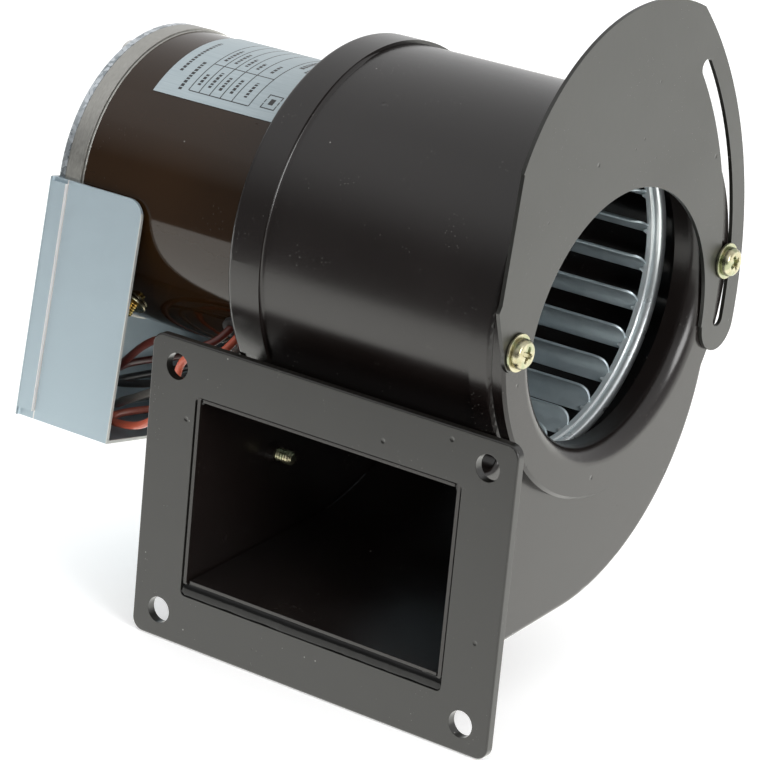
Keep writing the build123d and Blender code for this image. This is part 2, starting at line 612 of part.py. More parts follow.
# ================= rotor and wheel =================
with BuildPart() as rotor_shaft:
    add(turned([(SHAFT_REAR_X, 0), (SHAFT_REAR_X, SHAFT_R - 0.4), (SHAFT_REAR_X + 0.4, SHAFT_R),
                (SHOULDER_X0, SHAFT_R), (SHOULDER_X0, SHOULDER_R), (SHOULDER_X1, SHOULDER_R),
                (SHOULDER_X1, SHAFT_R), (SHAFT_END_X - 0.4, SHAFT_R), (SHAFT_END_X, SHAFT_R - 0.4),
                (SHAFT_END_X, 0)]))
    # flat for the wheel's set screw
    with BuildSketch(Plane(origin=(-24, SHAFT_Y, SHAFT_Z + SHAFT_R), x_dir=(1, 0, 0), z_dir=(0, 0, 1))):
        Rectangle(26, 8)
    extrude(amount=-0.5, mode=Mode.SUBTRACT)
save(rotor_shaft.part, "rotor_shaft")
save(ring(CORE_X0, CORE_X1, SHOULDER_R + 0.02, ROTOR_R), "rotor_core")
save(solids([ring(CORE_X0 - 3.5, CORE_X0 - 0.02, 13.2, 19.2), ring(CORE_X1 + 0.02, CORE_X1 + 3.5, 13.2, 19.2)]),
     "rotor_end_rings")
save(solids([ring(SHOULDER_X0 - 0.85, SHOULDER_X0 - 0.05, SHAFT_R + 0.05, 7.0),
             ring(SHOULDER_X1 + 0.05, SHOULDER_X1 + 0.85, SHAFT_R + 0.05, 7.0)]), "thrust_washers")

with BuildPart() as wheel_hub:
    add(turned([(-35.2, SHAFT_R + 0.02), (-35.2, 6.9), (BACK_PLATE_X + 1.05, 6.9), (BACK_PLATE_X + 1.05, 14.0),
                (BACK_PLATE_X + 3.0, 14.0), (BACK_PLATE_X + 3.0, HUB_R), (HUB_END_X, HUB_R),
                (HUB_END_X, SHAFT_R + 0.02)]))
    with BuildSketch(Plane(origin=(-21, SHAFT_Y, SHAFT_Z), x_dir=(1, 0, 0), z_dir=(0, 0, 1))):
        Circle(SCREW_R + 0.05)
    extrude(amount=12, mode=Mode.SUBTRACT)
save(wheel_hub.part, "wheel_hub")
with BuildPart() as wheel_set_screw:
    with BuildSketch(Plane(origin=(-21, SHAFT_Y, SHAFT_Z + SHAFT_R - 0.45), x_dir=(1, 0, 0), z_dir=(0, 0, 1))):
        Circle(SCREW_R)
    extrude(amount=5.2)
    with BuildSketch(Plane(origin=(-21, SHAFT_Y, SHAFT_Z + SHAFT_R + 4.75), x_dir=(1, 0, 0), z_dir=(0, 0, 1))):
        RegularPolygon(1.1, 6)
    extrude(amount=-2, mode=Mode.SUBTRACT)
save(wheel_set_screw.part, "wheel_set_screw")

plate_edge = BLADE_OUT_R + 1.0
save(turned([(BACK_PLATE_X, 6.95), (BACK_PLATE_X + 1.0, 6.95), (BACK_PLATE_X + 1.0, plate_edge - 0.8),
             (BACK_PLATE_X + 3.4, plate_edge - 0.8), (BACK_PLATE_X + 3.4, plate_edge),
             (BACK_PLATE_X, plate_edge)]), "wheel_back_plate")
save(turned([(RING_X, RING_IN_R), (RING_FRONT_X - 0.9, RING_IN_R), (RING_FRONT_X, RING_IN_R + 0.9),
             (RING_FRONT_X, RING_OUT_R - 1.2), (RING_FRONT_X - 1.2, RING_OUT_R), (RING_X, RING_OUT_R),
             (RING_X, RING_OUT_R - 0.8), (BAND_FRONT_X + 0.1, RING_OUT_R - 0.8),
             (BAND_FRONT_X + 0.1, BAND_R - 0.05), (RING_X, BAND_R - 0.05)]), "wheel_front_ring")


def polar(radius, angle):
    """Point in a plane round the shaft."""
    return (radius * cos(radians(angle)), radius * sin(radians(angle)))


# the blades are one punched strip: bands at both ends, arched windows between blades
front_band = ring(BAND_X - 4.2, BAND_FRONT_X, BAND_R, BAND_R + BAND_T)
rear_band = ring(STRIP_REAR_X, STRIP_REAR_X + 4.0, BAND_R, BAND_R + BAND_T)
pitch = 360 / BLADES
skew = degrees(BLADE_T * 1.25 / 43.0)
mid_r = (BLADE_IN_R + BLADE_OUT_R) / 2
bow = degrees(BLADE_BOW / mid_r)
near, middle, far = BLADE_PHASE, BLADE_PHASE - BLADE_SWEEP / 2 + bow, BLADE_PHASE - BLADE_SWEEP
with BuildPart() as blade:
    with BuildSketch(round_shaft(STRIP_REAR_X)):
        with BuildLine():
            back = ThreePointArc(polar(BLADE_IN_R, near), polar(mid_r, middle), polar(BLADE_OUT_R, far))
            front = ThreePointArc(polar(BLADE_IN_R, near - skew), polar(mid_r, middle - skew),
                                  polar(BLADE_OUT_R, far - skew))
            Line(back @ 0, front @ 0)
            Line(back @ 1, front @ 1)
        make_face()
    extrude(amount=BAND_X + 0.3 - STRIP_REAR_X)
one_blade = blade.part
with BuildPart() as wheel_blades:
    add(front_band)
    for i in range(BLADES):
        centre = BLADE_PHASE - 4.2 + pitch * (i + 0.5)
        with BuildSketch(radial(BAND_X - 6.0, centre, 42.0)):
            RectangleRounded(12.0, 9.7, 4.2)
        extrude(amount=6, mode=Mode.SUBTRACT)
    add(rear_band)
    for i in range(BLADES):
        add(one_blade.rotate(shaft_axis, pitch * i))
save(wheel_blades.part, "wheel_blades")
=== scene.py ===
import bpy
import bmesh
import json
import math
from mathutils import Euler, Matrix, Vector, noise

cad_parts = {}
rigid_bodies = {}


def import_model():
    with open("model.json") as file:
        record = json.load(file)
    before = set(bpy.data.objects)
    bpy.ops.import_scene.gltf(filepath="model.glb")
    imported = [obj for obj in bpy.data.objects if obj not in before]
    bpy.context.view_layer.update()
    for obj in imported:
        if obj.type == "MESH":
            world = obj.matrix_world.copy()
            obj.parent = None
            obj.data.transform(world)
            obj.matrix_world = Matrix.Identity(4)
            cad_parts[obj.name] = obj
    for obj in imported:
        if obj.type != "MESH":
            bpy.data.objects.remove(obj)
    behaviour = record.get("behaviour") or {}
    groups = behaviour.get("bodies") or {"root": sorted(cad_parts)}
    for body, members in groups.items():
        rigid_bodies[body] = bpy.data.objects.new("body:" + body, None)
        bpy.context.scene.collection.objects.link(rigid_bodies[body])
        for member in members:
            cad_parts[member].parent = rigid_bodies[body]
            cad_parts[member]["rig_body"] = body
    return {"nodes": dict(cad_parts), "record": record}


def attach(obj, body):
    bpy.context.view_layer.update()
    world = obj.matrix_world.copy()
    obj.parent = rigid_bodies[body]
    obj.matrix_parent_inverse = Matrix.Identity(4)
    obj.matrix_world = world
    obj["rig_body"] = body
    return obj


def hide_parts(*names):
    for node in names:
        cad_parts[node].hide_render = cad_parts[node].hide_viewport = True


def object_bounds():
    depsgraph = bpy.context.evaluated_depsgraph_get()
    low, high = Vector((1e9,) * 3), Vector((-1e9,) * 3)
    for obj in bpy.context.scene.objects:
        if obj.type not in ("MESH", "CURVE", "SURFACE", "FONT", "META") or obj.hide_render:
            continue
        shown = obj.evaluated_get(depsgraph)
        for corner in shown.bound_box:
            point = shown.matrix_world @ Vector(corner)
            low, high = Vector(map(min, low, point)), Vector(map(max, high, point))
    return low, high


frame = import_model()
cad_box = [list(corner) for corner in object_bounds()]
scene = bpy.context.scene
scene.view_settings.view_transform = "Standard"
scene.view_settings.look = "None"

# Combustion fan.  Metres; X is the shaft axis with the inlet at +X, the outlet
# flange faces -Y and +Z is up.  The origin is the centre of the flange's face.
# Profiles, widths and radii are written in mm and turned to metres by MM.
MM = 0.001
SHAFT = Vector((0, 0.0612, 0.0648))

# ------------------------------------------------------------------ camera
CAMERA_AT = (0.489947, -0.679448, 0.315381)
CAMERA_TURN = Euler([math.radians(a) for a in (72.0545, -5.2730, 36.6511)])
SENSOR_MM, LENS_MM = 36.0, 164.10
NEAR, FAR = 0.05, 20.0
cam_data = bpy.data.cameras.new("camera")
cam_data.sensor_width = SENSOR_MM
cam_data.lens = LENS_MM
cam_data.clip_start, cam_data.clip_end = NEAR, FAR
camera = bpy.data.objects.new("camera", cam_data)
scene.collection.objects.link(camera)
camera.matrix_world = Matrix.Translation(CAMERA_AT) @ CAMERA_TURN.to_matrix().to_4x4()
scene.camera = camera


# ------------------------------------------------------------------ materials
MATERIALS = {}


class Nodes:
    """Short calls for building one material's nodes.  Every material is kept in MATERIALS under its name."""

    def __init__(self, name):
        self.mat = MATERIALS[name] = bpy.data.materials.new(name)
        self.mat.use_nodes = True
        self.tree = self.mat.node_tree
        self.shader = self.tree.nodes["Principled BSDF"]
        coords = self.tree.nodes.new("ShaderNodeTexCoord")
        self.coords = coords.outputs["Object"]

    def link(self, a, b):
        self.tree.links.new(a, b)

    def stretched(self, scale, turn=(0, 0, 0)):
        """Object coordinates scaled per axis, for grain that runs one way."""
        node = self.tree.nodes.new("ShaderNodeMapping")
        node.inputs["Scale"].default_value = scale
        node.inputs["Rotation"].default_value = turn
        self.link(self.coords, node.inputs["Vector"])
        return node.outputs["Vector"]

    def noise(self, scale, detail=3.0, rough=0.5, vector=None):
        """Cloudy noise from 0 to 1."""
        node = self.tree.nodes.new("ShaderNodeTexNoise")
        node.inputs["Scale"].default_value = scale
        node.inputs["Detail"].default_value = detail
        node.inputs["Roughness"].default_value = rough
        self.link(vector or self.coords, node.inputs["Vector"])
        return node.outputs["Fac"]

    def cells(self, scale, output="Distance"):
        """Scattered cells: the distance from a cell's middle, or the cell's own random color."""
        node = self.tree.nodes.new("ShaderNodeTexVoronoi")
        node.inputs["Scale"].default_value = scale
        self.link(self.coords, node.inputs["Vector"])
        return node.outputs[output]

    def cell_value(self, scale, channel="Red"):
        """One random number from 0 to 1 for each cell."""
        node = self.tree.nodes.new("ShaderNodeSeparateColor")
        self.link(self.cells(scale, "Color"), node.inputs["Color"])
        return node.outputs[channel]

    def dots(self, scale, inner, outer, height=1.0):
        """A soft dot in the middle of each cell."""
        return self.span(self.cells(scale), inner, outer, height, 0.0, smooth=True)

    def span(self, value, low, high, out_low=0.0, out_high=1.0, smooth=False):
        """value mapped from low..high to out_low..out_high, and held there beyond."""
        node = self.tree.nodes.new("ShaderNodeMapRange")
        node.interpolation_type = "SMOOTHSTEP" if smooth else "LINEAR"
        node.inputs["From Min"].default_value = low
        node.inputs["From Max"].default_value = high
        node.inputs["To Min"].default_value = out_low
        node.inputs["To Max"].default_value = out_high
        self.link(value, node.inputs["Value"])
        return node.outputs["Result"]

    def math(self, kind, a, b):
        """One sum of two sockets or numbers."""
        node = self.tree.nodes.new("ShaderNodeMath")
        node.operation = kind
        for socket, value in zip(node.inputs, (a, b)):
            if isinstance(value, (int, float)):
                socket.default_value = value
            else:
                self.link(value, socket)
        return node.outputs[0]

    def axis(self, letter):
        """One object coordinate."""
        node = self.tree.nodes.new("ShaderNodeSeparateXYZ")
        self.link(self.coords, node.inputs[0])
        return node.outputs[letter]

    def mix(self, factor, a, b):
        """The color a where factor is 0 and b where it is 1."""
        node = self.tree.nodes.new("ShaderNodeMix")
        node.data_type = "RGBA"
        self.link(factor, node.inputs["Factor"])
        for socket, value in ((node.inputs[6], a), (node.inputs[7], b)):
            if isinstance(value, tuple):
                socket.default_value = (*value, 1) if len(value) == 3 else value
            else:
                self.link(value, socket)
        return node.outputs[2]

    def bump(self, height, distance, strength, normal=None):
        """A normal bent by a height, on top of another bump's normal."""
        node = self.tree.nodes.new("ShaderNodeBump")
        node.inputs["Distance"].default_value = distance
        node.inputs["Strength"].default_value = strength
        self.link(height, node.inputs["Height"])
        if normal is not None:
            self.link(normal, node.inputs["Normal"])
        return node.outputs["Normal"]

    def finish(self, color=None, rough=None, normal=None, **fixed):
        """Join the looks to the shader.  fixed values are set on its own sockets."""
        names = {"metallic": "Metallic", "roughness": "Roughness", "specular": "Specular IOR Level",
                 "base": "Base Color"}
        for key, value in fixed.items():
            self.shader.inputs[names[key]].default_value = value
        if color is not None:
            self.link(color, self.shader.inputs["Base Color"])
        if rough is not None:
            self.link(rough, self.shader.inputs["Roughness"])
        if normal is not None:
            self.link(normal, self.shader.inputs["Normal"])
        return self.mat


# texture scales are in cells or waves to the metre, and bump heights in metres
SPECK_SCALE, CRATER_SCALE, NIB_SCALE, PIT_SCALE = 270, 120, 900, 260
CLOUD_SCALE, PEEL_SCALE, WAVE_SCALE = 28, 420, 45
PEEL_DEPTH, NIB_HEIGHT, PIT_DEPTH, CRATER_DEPTH = 0.00002, 0.00010, 0.00016, 0.00022
CRATERS_ABOVE, SPECK_SHOWS = 0.72, 0.6
DUST, SPECK, GRIT = (0.40, 0.39, 0.36), (0.42, 0.41, 0.38), (0.8, 0.84, 0.86)
GRIT_SCALE, GRIT_SHOWS = 1300, 0.35


def enamel(name, dark, light, rough, dust=0.5, peel=1.0, waves=0.0, specular=0.5, specks=0.93):
    """Black baked enamel: orange peel, faint cloudiness, dust nibs, stray specks and pits.

    waves is the height of the slow ripple, and a cell has a speck where its number is above specks."""
    n = Nodes(name)
    speck = n.math("MULTIPLY", n.dots(SPECK_SCALE, 0.03, 0.08),
                   n.math("GREATER_THAN", n.cell_value(SPECK_SCALE), specks))
    crater = n.math("MULTIPLY", n.dots(CRATER_SCALE, 0.03, 0.10),
                    n.math("GREATER_THAN", n.cell_value(CRATER_SCALE, "Green"), CRATERS_ABOVE))
    nib = n.math("MULTIPLY", n.dots(NIB_SCALE, 0.05, 0.12), n.span(n.noise(95, 2), 0.55, 0.63, smooth=True))
    pit = n.math("MULTIPLY", n.dots(PIT_SCALE, 0.05, 0.11), n.span(n.noise(40, 2), 0.62, 0.68, smooth=True))
    cloud = n.noise(CLOUD_SCALE, 4, 0.6)
    tone = n.mix(n.span(cloud, 0.3, 0.7), dark, light)
    tone = n.mix(n.math("MULTIPLY", nib, dust), tone, DUST)
    tone = n.mix(n.math("MULTIPLY", speck, SPECK_SHOWS), tone, SPECK)
    normal = n.bump(n.noise(PEEL_SCALE, 2), PEEL_DEPTH * peel, 0.6)
    if waves:
        normal = n.bump(n.noise(WAVE_SCALE, 2), waves, 0.6, normal)
    normal = n.bump(nib, NIB_HEIGHT, 0.7, normal)
    normal = n.bump(n.math("SUBTRACT", 1.0, pit), PIT_DEPTH, 0.7, normal)
    normal = n.bump(n.math("SUBTRACT", 1.0, crater), CRATER_DEPTH, 0.8, normal)
    n.finish(tone, n.span(cloud, 0.2, 0.8, rough * 0.85, rough * 1.2), normal, specular=specular)


def galvanised(name, base, light, scale, rough, spangle, metallic=0.85, uneven=1.0, bare_edges_and_highlights=()):
    """Zinc-coated sheet with spangle cells.  The last argument lists (low x, high x, color) in mm: bare cut edges,
    and painted highlights along bends.
    """
    n = Nodes(name)
    cell = n.cell_value(scale)
    cloud = n.noise(40, 4, 0.6)
    tone = n.mix(n.span(cell, 0, 1, 0.5 - spangle / 2, 0.5 + spangle / 2), base, light)
    dull = n.mix(n.span(cloud, 0.35, 0.7, 0.0, 0.12 * uneven), tone, base)
    grit = n.dots(GRIT_SCALE, 0.05, 0.12, GRIT_SHOWS)
    dull = n.mix(n.math("MULTIPLY", grit, n.span(n.noise(120, 2), 0.55, 0.62)), dull, GRIT)
    for low, high, color in bare_edges_and_highlights:
        x = n.axis("X")
        band = n.math("MULTIPLY", n.math("GREATER_THAN", x, low * MM), n.math("LESS_THAN", x, high * MM))
        dull = n.mix(band, dull, color)
    n.finish(dull, n.span(cell, 0, 1, rough * (1 - 0.2 * uneven), rough * (1 + 0.25 * uneven)),
             n.bump(n.noise(600, 2), 0.00001, 0.5), metallic=metallic)


def brushed(name, base, light, scale, rough, turn=(0, 0, 0)):
    """Turned or brushed metal with streaks."""
    n = Nodes(name)
    streak = n.noise(1.0, 3, 0.6, n.stretched(scale, turn))
    mottle = n.noise(140, 4, 0.6)
    tone = n.mix(n.span(streak, 0.3, 0.7), base, light)
    tone = n.mix(n.span(mottle, 0.35, 0.75, 0.0, 0.4), tone, base)
    n.finish(tone, n.span(streak, 0.25, 0.75, rough * 0.8, rough * 1.3), n.bump(streak, 0.00002, 0.4),
             metallic=1.0)


def plated(name, base, light, rough, tint=None):
    """Passivated zinc plating with mottling, and a second tint in patches."""
    n = Nodes(name)
    mottle = n.noise(500, 4, 0.65)
    tone = n.mix(n.span(mottle, 0.3, 0.7), base, light)
    if tint:
        tone = n.mix(n.span(n.noise(260, 2, 0.5), 0.45, 0.62, 0.0, 0.8, smooth=True), tone, tint)
    n.finish(tone, n.span(mottle, 0.3, 0.7, rough * 0.7, rough * 1.4), n.bump(mottle, 0.00002, 0.5),
             metallic=1.0)


def plastic(name, dark, light, rough=0.35):
    """Lead insulation or moulding with slight unevenness."""
    n = Nodes(name)
    mottle = n.noise(300, 3, 0.55)
    tone = n.mix(n.span(mottle, 0.25, 0.75), dark, light)
    n.finish(tone, n.span(mottle, 0.2, 0.8, rough * 0.85, rough * 1.2), n.bump(mottle, 0.00003, 0.4),
             specular=0.5)


def foil(name, dark, light):
    """Metallised label film: fine horizontal grain and a soft sheen."""
    n = Nodes(name)
    grain = n.noise(1.0, 3, 0.6, n.stretched((90, 2600, 2600)))
    tone = n.mix(n.span(grain, 0.3, 0.7), dark, light)
    tone = n.mix(n.span(n.noise(60, 3, 0.5), 0.4, 0.7, 0.0, 0.3), tone, dark)
    n.finish(tone, n.span(grain, 0.3, 0.7, 0.36, 0.48), n.bump(grain, 0.000008, 0.4), metallic=0.2,
             specular=0.4)


enamel("housing_enamel", (0.0066, 0.0046, 0.0040), (0.0090, 0.0066, 0.0060), 0.24, waves=0.00004, specular=0.47)
enamel("flange_enamel", (0.0060, 0.0056, 0.0046), (0.0085, 0.0080, 0.0068), 0.30, dust=0.35, waves=0.00010,
       specular=0.54, specks=0.84)
# a darker, less glossy copy of the black enamel for the weld filler: the bead's dark look is painted shade
enamel("weld_enamel", (0.003, 0.003, 0.003), (0.006, 0.006, 0.006), 0.16, specular=0.24)
enamel("shutter_enamel", (0.0080, 0.0080, 0.0062), (0.0110, 0.0110, 0.0088), 0.34, dust=0.2, specular=0.54,
       specks=0.97)
enamel("motor_enamel", (0.019, 0.0086, 0.0026), (0.025, 0.0115, 0.0038), 0.07, dust=0.12, peel=0.25,
       specular=0.33, specks=0.97)
plated("yellow_zinc", (0.30, 0.27, 0.16), (0.52, 0.49, 0.35), 0.28, (0.27, 0.30, 0.19))
plated("brass_zinc", (0.36, 0.22, 0.05), (0.62, 0.42, 0.12), 0.25, (0.30, 0.26, 0.10))
plated("bright_zinc", (0.50, 0.50, 0.49), (0.78, 0.78, 0.76), 0.28)
plated("winding", (0.35, 0.12, 0.04), (0.62, 0.26, 0.10), 0.3)
plated("copper", (0.60, 0.26, 0.14), (0.80, 0.42, 0.26), 0.25)
plated("bronze", (0.36, 0.24, 0.10), (0.55, 0.40, 0.20), 0.4)
plated("rotor_aluminium", (0.5, 0.5, 0.5), (0.75, 0.75, 0.75), 0.35)
brushed("cast_shield", (0.32, 0.315, 0.295), (0.47, 0.465, 0.44), (3000, 700, 700), 0.42, turn=(0, 0, 0.6))
brushed("lamination", (0.10, 0.10, 0.11), (0.24, 0.24, 0.25), (4000, 30, 30), 0.45)
brushed("shaft_steel", (0.40, 0.40, 0.40), (0.66, 0.66, 0.66), (6000, 80, 80), 0.25)
# colour bands of the wiring cover along X: the mouth's bare cut edge, and painted highlights along the lap line
# and the rear bend
LAP_LINE_HIGHLIGHT = (-107.42, -107.05, (0.76, 0.73, 0.71))
MOUTH_EDGE = (-80.75, -80.3, (0.60, 0.62, 0.60))
REAR_BEND_HIGHLIGHT = (-114.0, -113.1, (0.62, 0.58, 0.50))
galvanised("galvanised", (0.375, 0.455, 0.505), (0.43, 0.52, 0.57), 420, 0.50, 0.12, metallic=0.6, uneven=0.3,
           bare_edges_and_highlights=(LAP_LINE_HIGHLIGHT, MOUTH_EDGE, REAR_BEND_HIGHLIGHT))
galvanised("galvanised_rim", (0.24, 0.27, 0.29), (0.62, 0.66, 0.70), 900, 0.30, 1.0)
galvanised("wheel_galvanised", (0.36, 0.43, 0.46), (0.50, 0.57, 0.60), 420, 0.42, 0.3, metallic=0.7, uneven=0.6)
# a far lighter copy of the wheel's galvanised steel for its front ring and band: their brightness is painted light
galvanised("wheel_ring_lit_copy", (0.80, 0.86, 0.88), (0.92, 0.96, 0.97), 420, 0.30, 0.3, metallic=0.65, uneven=0.5)
foil("label_foil", (0.36, 0.43, 0.46), (0.45, 0.52, 0.55))
plastic("label_ink", (0.012, 0.012, 0.014), (0.022, 0.022, 0.024), 0.4)
plastic("rubber_black", (0.012, 0.012, 0.012), (0.03, 0.03, 0.03), 0.6)
plastic("pvc_red", (0.60, 0.12, 0.065), (0.74, 0.17, 0.10))
plastic("pvc_brown", (0.085, 0.017, 0.012), (0.13, 0.028, 0.02))
plastic("pvc_grey", (0.16, 0.155, 0.14), (0.24, 0.23, 0.21))
plastic("pvc_black", (0.02, 0.02, 0.02), (0.04, 0.04, 0.04))
SLOT_OF = {row["node"]: row["material_slot"] for row in frame["record"]["subparts"]}


# ------------------------------------------------------------------ mesh helpers
def linked(name, mesh, sharp):
    """A scene object for a mesh, shaded smooth with creases at angles over sharp degrees."""
    mesh.polygons.foreach_set("use_smooth", [True] * len(mesh.polygons))
    mesh.set_sharp_from_angle(angle=math.radians(sharp))
    obj = bpy.data.objects.new(name, mesh)
    scene.collection.objects.link(obj)
    return obj


def from_lists(name, verts, faces, sharp=30):
    """A scene object from lists of points and faces."""
    mesh = bpy.data.meshes.new(name)
    mesh.from_pydata([tuple(v) for v in verts], [], faces)
    mesh.validate()
    return linked(name, mesh, sharp)


def from_bmesh(name, bm, sharp):
    """A scene object from a bmesh, with its normals turned outward."""
    bmesh.ops.recalc_face_normals(bm, faces=bm.faces)
    mesh = bpy.data.meshes.new(name)
    bm.to_mesh(mesh)
    bm.free()
    for stale in ("custom_normal", "sharp_edge", "sharp_face"):
        if stale in mesh.attributes:
            mesh.attributes.remove(mesh.attributes[stale])
    return linked(name, mesh, sharp)


def add_faces(bm, verts, faces):
    """Add lists of points and faces to a bmesh."""
    mesh = bpy.data.meshes.new("scratch")
    mesh.from_pydata(verts, [], faces)
    bm.from_mesh(mesh)
    bpy.data.meshes.remove(mesh)


def rounded(bm, edges, width, segments=2):
    """Round edges of a bmesh by width mm."""
    bmesh.ops.bevel(bm, geom=edges, offset=width * MM, offset_type="OFFSET", segments=segments, profile=0.5,
                    affect="EDGES", clamp_overlap=True)


def round_shaft(x, radius, angle):
    """The point at x and radius from the shaft, angle radians from +Y towards +Z."""
    return SHAFT + Vector((x, radius * math.cos(angle), radius * math.sin(angle))) * MM


def placed(obj, slot, body, *nodes, material=None):
    """Give a piece its material (the slot's, unless another is named) and its body, and hide the nodes that it
    stands for.
    """
    obj.data.materials.clear()
    obj.data.materials.append(MATERIALS[material or slot])
    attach(obj, body)
    if nodes:
        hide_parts(*nodes)
    return obj


def crisp(obj):
    """Flat faces stay flat beside their rounded edges."""
    weighted = obj.modifiers.new("flat_faces", "WEIGHTED_NORMAL")
    weighted.keep_sharp = True
    weighted.weight = 90


# faces that meet at less than FLAT_ANGLE are joined; cut edges and bends turn by more than the others
FLAT_ANGLE, CUT_ANGLE, BEND_ANGLE = math.radians(0.6), math.radians(35), 0.6
SAME_POINT = 1e-6


def eased(node, width, material=None, bends=None):
    """The CAD solid as sheet metal, with every cut edge eased by width mm.

    bends is (test, radius): edges that pass test(edge) are rounded by radius mm first."""
    source = frame["nodes"][node]
    bm = bmesh.new()
    bm.from_mesh(source.data)
    bmesh.ops.remove_doubles(bm, verts=bm.verts, dist=SAME_POINT)
    bmesh.ops.dissolve_limit(bm, angle_limit=FLAT_ANGLE, verts=bm.verts, edges=bm.edges)
    if bends:
        test, radius = bends
        rounded(bm, [e for e in bm.edges if e.calc_face_angle(0) > BEND_ANGLE and test(e)], radius, 5)
    rounded(bm, [e for e in bm.edges if e.is_manifold and e.calc_face_angle(0) > CUT_ANGLE], width)
    obj = from_bmesh(node + "_finished", bm, 38)
    crisp(obj)
    placed(obj, SLOT_OF[node], source["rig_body"], node, material=material)


# ------------------------------------------------------------------ leads
LEAD_D = 0.0022
# each lead's length in metres, and its route in mm from the grommet to its terminal
LEADS = {
    "lead_brown": (0.100, [(-53.8, 32.465, 43.039), (-53.8, 19.443, 32.111), (-75, 23.5, 33.5), (-93, 25.3, 16.5),
                           (-101, 44, 14), (-96, 68, 12)]),
    "lead_black": (0.106, [(-53.8, 34.779, 40.281), (-53.8, 24.055, 31.282), (-74, 29.5, 17), (-100, 31, 10),
                           (-106, 50, 6.5), (-104, 75, 5)]),
    "lead_grey": (0.107, [(-50.2, 33.247, 38.995), (-50.2, 20.991, 28.711), (-74, 24.5, 17), (-97, 29, 4),
                          (-103, 47, 2), (-98, 70, 0)]),
    "lead_red": (0.105, [(-50.2, 29.401, 40.467), (-50.8, 18.2, 31.0), (-61.5, 16.6, 32.0), (-64.5, 17.4, 20.5),
                         (-73, 18.5, 6.5), (-91, 19.8, 4.0), (-96, 38, 1.8), (-91, 60, -0.5)]),
}


def frame_along(ahead, side):
    """Rotation whose Z runs ahead and whose X is near side."""
    z = Vector(ahead).normalized()
    y = z.cross(Vector(side)).normalized()
    x = y.cross(z)
    return Matrix((x, y, z)).transposed().to_4x4()


def loft(rings):
    """Points and faces of a closed form that joins equal rings in order."""
    count = len(rings[0])
    verts = [p for ring in rings for p in ring]
    faces = []
    for i in range(len(rings) - 1):
        a, b = i * count, (i + 1) * count
        faces += [(a + j, a + (j + 1) % count, b + (j + 1) % count, b + j) for j in range(count)]
    faces.append(tuple(reversed(range(count))))
    faces.append(tuple(range((len(rings) - 1) * count, len(rings) * count)))
    return verts, faces


def rounded_loop(half_x, half_y, corner):
    """Rounded rectangle as a loop of (x, y)."""
    loop, steps = [], 4
    for sx, sy, start in ((1, 1, 0), (-1, 1, 90), (-1, -1, 180), (1, -1, 270)):
        for i in range(steps + 1):
            a = math.radians(start + 90 * i / steps)
            loop.append((sx * (half_x - corner) + corner * math.cos(a),
                         sy * (half_y - corner) + corner * math.sin(a)))
    return loop


def terminal(name, tip, ahead):
    """Push-on terminal: insulation grip, crimped neck, and a receptacle with two rolled sides."""
    # (along, half x, half y, corner) of the grip and neck
    stations = [(0.05, 1.62, 1.62, 1.55), (0.4, 1.7, 1.7, 1.6), (2.6, 1.7, 1.7, 1.6), (3.0, 1.45, 1.5, 1.3),
                (3.4, 1.2, 1.35, 1.0), (3.9, 1.55, 1.35, 1.2), (5.6, 1.6, 1.3, 1.2), (6.2, 1.2, 1.3, 1.0),
                (7.0, 1.15, 2.2, 0.8), (7.5, 1.2, 3.45, 0.9), (7.8, 1.2, 3.6, 1.0)]
    rings = [[(x * MM, y * MM, s * MM) for x, y in rounded_loop(hx, hy, min(c, hx, hy) - 0.02)]
             for s, hx, hy, c in stations]
    bm = bmesh.new()
    add_faces(bm, *loft(rings))
    # receptacle: a floor, two sides rolled over it, and a gap along the middle
    half = [(-1.2, 2.4), (-0.9, 3.2), (-0.1, 3.6), (0.8, 3.4), (1.2, 2.7), (1.1, 1.9), (0.55, 0.55), (0.15, 0.5),
            (0.45, 1.6), (0.55, 2.3), (0.45, 2.8), (-0.05, 3.0), (-0.5, 2.6), (-0.75, 2.1)]
    mirrored = [(x, -y) for x, y in reversed(half)]
    profile = [mirrored[-1]] + half + mirrored[:-1]
    add_faces(bm, *loft([[(x * MM, y * MM, s * MM) for x, y in profile] for s in (7.8, 8.1, 14.6, 14.95)]))
    bmesh.ops.transform(bm, matrix=Matrix.Translation(tip) @ frame_along(ahead, (0, 0, 1)), verts=bm.verts)
    return placed(from_bmesh(name, bm, 40), "bright_zinc", "housing", "lead_terminals")


for node, (length, route) in LEADS.items():
    color = node.split("_")[1]
    curve = bpy.data.curves.new(node + "_insulated", "CURVE")
    curve.dimensions = "3D"
    curve.resolution_u = 24
    curve.bevel_depth = LEAD_D / 2
    curve.bevel_resolution = 5
    curve.use_fill_caps = True
    line = curve.splines.new("NURBS")
    line.points.add(len(route) - 1)
    for point, place in zip(line.points, route):
        point.co = (*[c * MM for c in place], 1)
    line.order_u = 3
    line.use_endpoint_u = True
    obj = bpy.data.objects.new(node + "_insulated", curve)
    scene.collection.objects.link(obj)
    placed(obj, "pvc_" + color, "housing", node)
    last = Vector(route[-1]) * MM
    end = terminal("terminal_" + color, last, last - Vector(route[-2]) * MM)


# ------------------------------------------------------------------ screws
SCREW_AROUND, SHANK_R, NECK, THREAD_DEPTH, TURN_ROWS = 72, 2.0, 0.15, 0.34, 6
TIP_TAPER, TIP_SHARE = 0.8, 0.72
# shares of a head's radius and height: the crown's width and fall, and where the rolled edge starts and ends
CROWN, FALL, EDGE_TOP, EDGE_LOW = 0.74, 0.10, 0.945, 0.25


